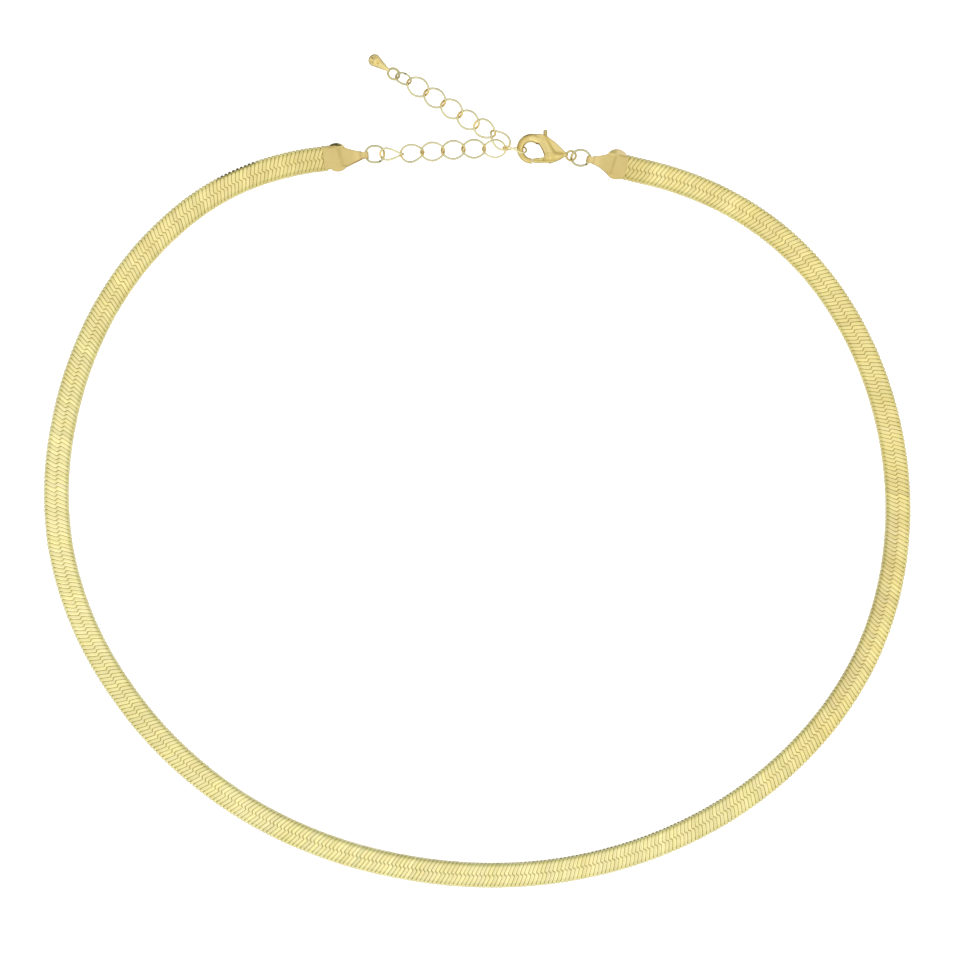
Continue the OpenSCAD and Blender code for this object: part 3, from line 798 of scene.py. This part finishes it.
def cap_field(form):
    """Distance field of a cap: plate, ears, the bail with its bore at 0, and the mouth for the band."""
    outline = cap_outline(form)

    def field(x, y, z):
        def either(value):
            return np.where(y < 0, value(form[-1]), value(form[1]))

        side = np.abs(y)
        half = np.interp(x + form["askew"] * y, *zip(*form["heights"]))
        plate = slab(polygon_distance(x, y, outline), z, half, CAP_EDGE)
        ears = np.hypot(x - either(lambda v: v["ear"][0]), side - either(lambda v: v["ear"][1]))
        ears = np.maximum(ears - either(lambda v: v["ear"][2]), CAP_FOLD - EAR_INSIDE - side)
        out = np.maximum(side - either(lambda v: v["start"]), 0)
        knee = either(lambda v: np.interp(x, *zip(*v["knee"])))
        fall = either(lambda v: v["slope"]) * np.minimum(out, knee) + EAR_BEYOND * np.maximum(out - knee, 0)
        folded = slab(ears, z, np.maximum(CAP_T / 2 - EAR_DROP - fall, EAR_LEAST), EAR_EDGE)
        body = smooth_min(plate, folded, CAP_BLEND)
        reach = np.where(x < 0, BAIL_R / BAIL_TIP, 1.0)
        loop = np.maximum(side - either(lambda v: v["bail"]), (np.hypot(x * reach, z) - BAIL_R) / reach)
        body = smooth_min(body, loop, BAIL_BLEND)
        body = smooth_max(body, BORE_R - np.hypot(x, z), BORE_BLEND)
        mouth = np.maximum(np.maximum(MOUTH_X - x, side - MOUTH_W), np.abs(z) - MOUTH_T)
        mouth = np.maximum(mouth, (side + np.abs(z) - MOUTH_CORNER) / math.sqrt(2))
        return smooth_max(body, -mouth, CAP_BLEND)

    return field


def cap_tone(form, points):
    """Painted shade on the taper's edges, in the bend and on the upper ears; painted highlights on the fold,
    the bail and the right cap's upper ear.
    """
    x, y = points[:, 0], points[:, 1]
    inside = polygon_distance(x, y, cap_outline(form))
    tone = np.ones((len(points), 4))
    for side in (-1, 1):
        v = form[side]
        share = eased(inside, -v["depth"], -v["depth"] * CAP_EDGE_SHADE_FULL) * (side * y > 0)
        tone *= toned(np.interp(x, *zip(*v["edge"])) * share, CAP_EDGE_SHADE_TONE)
    left = form is CAP_FORMS["end_cap_left"]
    up = -y if left else y
    bend = window(x + form["askew"] * y, *form["bend"]) * window(up, *CAP_BEND_UP)
    bend_top = form["bend_top"]
    tone *= toned(bend * (bend_top + (1 - bend_top) * eased(up, *CAP_BEND_RISE)), CAP_BEND_SHADE_TONE)
    tone *= toned(window(x, *BAIL_ALONG) * (BAIL_REST + (1 - BAIL_REST) * eased(x, *BAIL_END)), BAIL_HIGHLIGHT_TONE)
    if left:
        shade = sum(window(x, *along) * window(up, *across) for along, across in EAR_SHADES)
        tone *= toned(np.clip(shade, 0, 1), EAR_SHADE_TONE)
    else:
        ear = eased(up, *EAR_UP)
        tone *= toned(ear * eased(x, *EAR_ROSY), EAR_ROSY_HIGHLIGHT)
        tone *= toned(ear * eased(x, *EAR_OLIVE), EAR_OLIVE_SHADE)
    return tone * patched(x, up, CAP_PATCHES)


def add_caps():
    for node, cap in (("end_cap_left", CAP_LEFT), ("end_cap_right", CAP_RIGHT)):
        form = CAP_FORMS[node]
        points, faces = field_mesh(cap_field(form), *CAP_GRID)
        mesh_piece(node + "_sheet", place_flat(points, (cap[0], cap[1], CAP_T / 2), cap[2]), faces, CAP_GOLD,
                   "necklace", node=node, tone=cap_tone(form, points))


add_caps()

# ---- clasp
CLASP = (9.367, 63.135, 1.3)
CLASP_GRID = ((-2.75, -2.85, -1.45), (7.95, 2.85, 1.45), 0.052)
# the hook's half thickness by the direction from the bend's middle, and the directions from and to
HOOK_OUTER, HOOK_FROM, HOOK_TO = 2.6, 55.0, 270.0
HOOK_HALF = ((50, 0.77), (90, 0.76), (135, 0.67), (180, 0.58), (225, 0.51), (270, 0.46))
# the end face towards the lever's nose and the rounding of its edge
HOOK_END, HOOK_END_EDGE = 0.02, 0.1
CHEEK = ((0.7, 2.46), (1.3, 2.56), (2.0, 2.42), (2.6, 2.14), (3.2, 1.74), (3.9, 1.22), (4.7, 0.5),
         (5.4, -0.2), (6.1, -0.8), (6.1, -1.16), (5.3, -1.5), (4.6, -1.92), (3.8, -2.38), (3.1, -2.56),
         (2.5, -2.46), (2.24, -2.0), (2.08, -0.95), (1.88, -0.42), (1.58, 0.2), (1.15, 0.86), (0.62, 1.26))
CHEEK_HALF = ((0.7, 0.52), (1.6, 0.72), (2.2, 0.84), (3.2, 0.93), (4.2, 0.84), (5.0, 0.62), (6.0, 0.3))
CHEEK_EDGE = 0.22
RIDGE = ((0.7, 1.86, 0.62, 0.62), (1.45, 1.68, 0.74, 0.8), (2.15, 1.26, 0.92, 0.98),
         (2.72, 0.55, 1.0, 1.1), (3.1, -0.35, 1.1, 1.18), (3.4, -1.2, 1.13, 1.24),
         (4.3, -1.28, 0.84, 1.02), (5.3, -1.12, 0.46, 0.6), (5.95, -1.02, 0.28, 0.36))
LEVER_SLOT = ((1.2, -3.0), (2.95, -3.0), (2.95, -2.12), (4.4, -2.12), (4.4, -0.4),
              (4.3, 3.0), (1.85, 3.0), (1.9, 2.2), (2.35, 0.75), (1.2, 0.25))
SLOT_HALF, SLOT_EDGE = 0.4, 0.02
EYE, EYE_R, EYE_WIRE = (6.76, -1.21), 0.82, 0.19
PIVOT, PIVOT_R, PIVOT_SUNK = (3.66, -1.38), 0.3, 0.2
# how widely the ridge, the hook, the slot and the eye are blended in
RIDGE_BLEND, HOOK_BLEND, SLOT_BLEND, EYE_BLEND = 0.08, 0.16, 0.03, 0.12


def rounded_path(path, parts=5):
    """The same path with its corners rounded, as a Catmull-Rom curve."""
    rows = np.array([path[0], *path, path[-1]], float)
    t = np.linspace(0, 1, parts, endpoint=False)[:, None]
    curve = [0.5 * (2 * b + (c - a) * t + (2 * a - 5 * b + 4 * c - d) * t ** 2
                    + (3 * b - a - 3 * c + d) * t ** 3)
             for a, b, c, d in zip(rows, rows[1:], rows[2:], rows[3:])]
    return np.concatenate(curve + [rows[-1:]])


RIDGE_CURVE = rounded_path(RIDGE)


def hook_field(x, y, z):
    degrees = np.clip(np.degrees(np.arctan2(y, x)) % 360, HOOK_FROM, HOOK_TO)
    half = np.interp(degrees, *zip(*HOOK_HALF))
    a, middle = np.radians(degrees), HOOK_OUTER - half
    distance = np.sqrt((x - middle * np.cos(a)) ** 2 + (y - middle * np.sin(a)) ** 2 + z ** 2) - half
    return np.where(y < 0, smooth_max(distance, x - HOOK_END, HOOK_END_EDGE), distance)


def clasp_field(x, y, z):
    cheek = slab(polygon_distance(x, y, CHEEK), z, np.interp(x, *zip(*CHEEK_HALF)), CHEEK_EDGE)
    body = smooth_min(cheek, tapered(x, y, z, RIDGE_CURVE, 0), RIDGE_BLEND)
    body = smooth_min(body, hook_field(x, y, z), HOOK_BLEND)
    slot = slab(polygon_distance(x, y, LEVER_SLOT), z, SLOT_HALF, SLOT_EDGE)
    body = smooth_max(body, -slot, SLOT_BLEND)
    pin = np.maximum(np.hypot(x - PIVOT[0], y - PIVOT[1]) - PIVOT_R, np.abs(z) - SLOT_HALF - PIVOT_SUNK)
    body = np.minimum(body, pin)
    return smooth_min(body, ring_field(x, y, z, EYE, EYE_R, EYE_WIRE), EYE_BLEND)


LEVER_GRID = ((-0.1, -2.75, -0.75), (4.5, 3.55, 0.75), 0.045)
NOSE = ((0.3, -2.06, 0.38, 0.38), (0.9, -2.04, 0.44, 0.46), (1.75, -2.0, 0.48, 0.5))
NOSE_FROM, NOSE_TO, NOSE_EDGE, NOSE_TO_EDGE = 0.09, 1.97, 0.1, 0.05
ARM = ((2.0, 2.1), (2.6, 0.6), (3.15, -1.5), (4.15, -1.1), (2.74, 2.1))
ROOT = ((1.3, -2.28), (1.95, -2.46), (2.78, -2.48), (2.84, -2.06), (3.66, -1.95), (3.66, -0.8),
        (3.0, -1.05), (1.3, -1.62))
BOSS_R, BOSS_BLEND, PIVOT_GAP, LEVER_HALF, LEVER_EDGE = 0.62, 0.1, 0.06, 0.32, 0.04
KNOB, KNOB_LEN, KNOB_ROOT, KNOB_TIP = (2.33, 2.0), 1.26, 0.35, 0.33
# how far the knob reaches into the arm, and the rounding of its tip and foot
KNOB_FOOT, KNOB_TIP_EDGE, KNOB_FOOT_EDGE = 0.4, 0.2, 0.05
LEVER_NOSE_BLEND, LEVER_KNOB_BLEND = 0.05, 0.1


def lever_field(x, y, z):
    pivot = np.hypot(x - PIVOT[0], y - PIVOT[1])
    flat = np.minimum(polygon_distance(x, y, ARM), polygon_distance(x, y, ROOT))
    flat = smooth_min(flat, pivot - BOSS_R, BOSS_BLEND)
    flat = np.maximum(flat, PIVOT_R + PIVOT_GAP - pivot)
    plate = slab(flat, z, LEVER_HALF, LEVER_EDGE)
    nose = smooth_max(tapered(x, y, z, NOSE, NOSE_EDGE), NOSE_FROM - x, NOSE_EDGE)
    nose = smooth_max(nose, x - NOSE_TO, NOSE_TO_EDGE)
    t = np.clip((y - KNOB[1]) / KNOB_LEN, 0, 1)
    knob = np.hypot(x - KNOB[0], z) - (KNOB_ROOT + (KNOB_TIP - KNOB_ROOT) * t)
    knob = smooth_max(knob, y - KNOB[1] - KNOB_LEN, KNOB_TIP_EDGE)
    knob = smooth_max(knob, KNOB[1] - y - KNOB_FOOT, KNOB_FOOT_EDGE)
    return smooth_min(smooth_min(plate, nose, LEVER_NOSE_BLEND), knob, LEVER_KNOB_BLEND)


# The clasp's tones. A patch is a tone, its window in x and its window in y, and FAR is past any end of it.
FAR = 99.0
# on body and lever: painted shade in a line along the lower side, a painted highlight on the rim below it and
# a spot of painted shade on the rim
LOW_SHADE_AND_HIGHLIGHT = (
    ((0.86, 0.86, 0.7), (0.3, 4.0, 0.5), (-2.12, -1.98, 0.14)),
    ((1.1, 1.14, 1.3), (0.3, 4.6, 0.5), (-FAR, -2.32, 0.14)),
    ((0.45, 0.43, 0.36), (2.95, 3.55, 0.2), (-FAR, -2.44, 0.08)),
)
# the body's eye, and a painted highlight on its belly below the crease
EYE_TONE = (0.8, 0.82, 0.88)
BODY_PATCHES = (
    (EYE_TONE, (6.1, FAR, 0.3), (-FAR, FAR, 1.0)),
    ((1.08, 1.11, 1.1), (2.6, 4.8, 0.5), (-1.86, -0.9, 0.3)),
)
# the lever: a painted highlight on its nose's top, where the knob's darker tone starts and is full, and the
# rest
NOSE_HIGHLIGHT_PATCH = ((1.26, 1.34, 1.45), (-FAR, 1.95, 0.1), (-1.86, -1.3, 0.1))
KNOB_UP, LEVER_TONE = (1.9, 2.4), (0.98, 1.03, 1.1)
# painted shade on the wall beside the hook's hole: its line, how far off it, and its ends in x and y
INNER_WALL = ((0.5, 1.33), (0.95, 1.1), (1.58, 0.2), (1.88, -0.42), (2.1, -1.1))
WALL_OFF, WALL_X, WALL_LOW, WALL_HIGH = (0.26, 0.06), (0.5, 0.8), (-1.4, -1.0), (1.15, 0.85)
WALL_SHADE_TONE = (0.36, 0.27, 0.2)
# painted shade in the crease between the hook's ridge and the flatter cheek, from the knob to the eye
CREASE = ((2.35, 2.2), (2.52, 1.9), (2.97, 0.86), (3.31, 0.17), (3.66, -0.35), (4.35, -0.69), (5.2, -0.76))
CREASE_OFF, CREASE_SHADE_TONE = (0.42, 0.08), (0.84, 0.8, 0.64)
# painted light on the upper side, from the hook's bend to the eye and up to the rim
UPPER_X, UPPER_Y, UPPER_RIM, UPPER_LIGHT_TONE = (-0.66, -0.31), (-0.72, -0.55), 2.35, (1.12, 1.15, 1.28)
# the hook's bend, and round it a line of painted shade and one of painted highlight, by the distance from its
# middle
BEND_X, BEND_Y = (1.4, 0.8), (-0.6, 0.4)
HOOK_SHADE_AND_HIGHLIGHT = (((2.14, 2.3, 0.14), (0.9, 0.86, 0.72)), ((1.5, 1.86, 0.14), (1.05, 1.05, 1.08)))


def clasp_tone(points):
    """Painted shade on the wall beside the hook's hole and in the crease, the eye a little darker, painted
    light on the upper side.
    """
    x, y = points[:, 0], points[:, 1]
    wall_x, wall_y = zip(*INNER_WALL[::-1])
    wall = eased(x - np.interp(y, wall_y, wall_x), *WALL_OFF) * eased(x, *WALL_X)
    wall = wall * (eased(y, *WALL_LOW) * eased(y, *WALL_HIGH))
    crease = eased(path_distance(x, y, CREASE), *CREASE_OFF)
    upper = eased(x, *UPPER_X) * eased(y, *UPPER_Y) * (y <= UPPER_RIM)
    bend = eased(x, *BEND_X) * eased(y, *BEND_Y)
    tone = toned(wall, WALL_SHADE_TONE) * toned(crease, CREASE_SHADE_TONE) * toned(upper, UPPER_LIGHT_TONE)
    for line, colour in HOOK_SHADE_AND_HIGHLIGHT:
        tone *= toned(bend * window(np.hypot(x, y), *line), colour)
    return tone * patched(x, y, BODY_PATCHES + LOW_SHADE_AND_HIGHLIGHT)


def lever_tone(points):
    """The knob darker than the rest, a painted highlight on the nose's top, and at its lower side the body's
    painted shade and highlight.
    """
    x, y = points[:, 0], points[:, 1]
    knob = eased(y, *KNOB_UP)
    return toned(knob, EYE_TONE) * toned(1 - knob, LEVER_TONE) * patched(x, y, (NOSE_HIGHLIGHT_PATCH, *LOW_SHADE_AND_HIGHLIGHT))


def add_clasp():
    points, faces = field_mesh(clasp_field, *CLASP_GRID)
    mesh_piece("clasp_body_cast", place_flat(points, CLASP, 0), faces, CAST_GOLD, "necklace",
               node="clasp_body", tone=clasp_tone(points))
    points, faces = field_mesh(lever_field, *LEVER_GRID)
    mesh_piece("clasp_lever_cast", place_flat(points, CLASP, 0), faces, CAST_GOLD, "lever",
               node="clasp_lever", tone=lever_tone(points))


add_clasp()

# ---- drop
DROP = (-14.46, 76.05, 0.85, 144.8, 4, 0)
DROP_GRID = ((-1.35, -1.25, -1.2), (5.25, 1.25, 1.2), 0.042)
DROP_LEN, DROP_BODY = 4.0, ((1.02, 0, 0.24, 0.24), (4.0, 0, 1.1, 1.1))
LOOP_R, LOOP_WIRE, LOOP_ROLL, LOOP_BLEND = 1.03, 0.21, 28.0, 0.08
# the star: rays, their turn, reach, height of the flat, depth of the cuts, how steeply the flat ends, how
# much more so on the loop's side, and the rounding of its edge
STAR_RAYS, STAR_TURN, STAR_R, STAR_FLAT, STAR_DEPTH = 8, -8.0, 0.8, 0.84, 0.34
STAR_STEEP, STAR_PAST, STAR_EDGE = 0.75, 1.5, 0.02
LOOP_TO, LOOP_TONE = (1.15, 0.95), (0.76, 0.83, 0.94)
# painted light on the drop's underside: where it starts and is full, and its tone
DROP_LOW, DROP_LOW_LIGHT_TONE = (0.5, -0.05), (1.14, 1.2, 1.3)
# painted shade in the cut from the star's middle to the outer end: across, along and up
CUT_ACROSS, CUT_ALONG, CUT_UP, CUT_SHADE_TONE = (0.11, 0.02), (0.15, 0.35), (0.2, 0.5), (0.34, 0.3, 0.26)
# painted light and shade on the star's cuts, by the direction round it; where it starts, how high, and its
# tint
STAR_LIGHT = ((-180, 1.05), (-140, 1.08), (-118, 1.15), (-96, 1.05), (-71, 0.84), (-45, 0.98), (-14, 0.9),
              (20, 1.1), (45, 1.0), (66, 0.78), (88, 1.0), (125, 1.15), (155, 1.08), (180, 1.05))
STAR_LIGHT_OUT, STAR_LIGHT_UP, STAR_LIGHT_TINT = (0.1, STAR_R, 0.1), (0.25, 0.4), (2, 2, 2.2)


def drop_field(x, y, z):
    u = x - DROP_LEN
    ray = np.degrees(np.arctan2(y, u)) - STAR_TURN
    groove = 1 - off(ray * STAR_RAYS, 0) / 180
    out = np.hypot(u, y)
    star = (z - STAR_FLAT + STAR_DEPTH * np.minimum(out, STAR_R) * groove) * STAR_STEEP
    star = star - STAR_PAST * np.maximum(out - STAR_R, 0) * (u < 0)
    body = smooth_max(tapered(x, y, z, DROP_BODY, 0), np.where(z > 0, star, -1.0), STAR_EDGE)
    c, s = math.cos(math.radians(LOOP_ROLL)), math.sin(math.radians(LOOP_ROLL))
    loop = ring_field(x, y * c + z * s, z * c - y * s, (0, 0), LOOP_R, LOOP_WIRE)
    return smooth_min(body, loop, LOOP_BLEND)


def drop_tone(points):
    """The loop darker, painted light on the underside, painted light and shade on the star's cuts, painted
    shade darkest in one cut.
    """
    x, y, z = points.T
    u = x - DROP_LEN
    cut = eased(np.abs(y - u * math.tan(math.radians(STAR_TURN))), *CUT_ACROSS) * eased(u, *CUT_ALONG)
    cut = cut * eased(z, *CUT_UP)
    loop = eased(x, *LOOP_TO)
    low = (1 - loop) * eased(z, *DROP_LOW)
    light = np.interp(np.degrees(np.arctan2(y, u)), *zip(*STAR_LIGHT)) - 1
    light *= window(np.hypot(u, y), *STAR_LIGHT_OUT) * eased(z, *STAR_LIGHT_UP)
    return (toned(loop, LOOP_TONE) * toned(low, DROP_LOW_LIGHT_TONE) * toned(cut, CUT_SHADE_TONE)
            * toned(light, STAR_LIGHT_TINT))


def add_drop():
    points, faces = field_mesh(drop_field, *DROP_GRID)
    mesh_piece("extender_drop_cast", place(points, DROP), faces, DROP_GOLD, "necklace",
               node="extender_drop", tone=drop_tone(points))


add_drop()
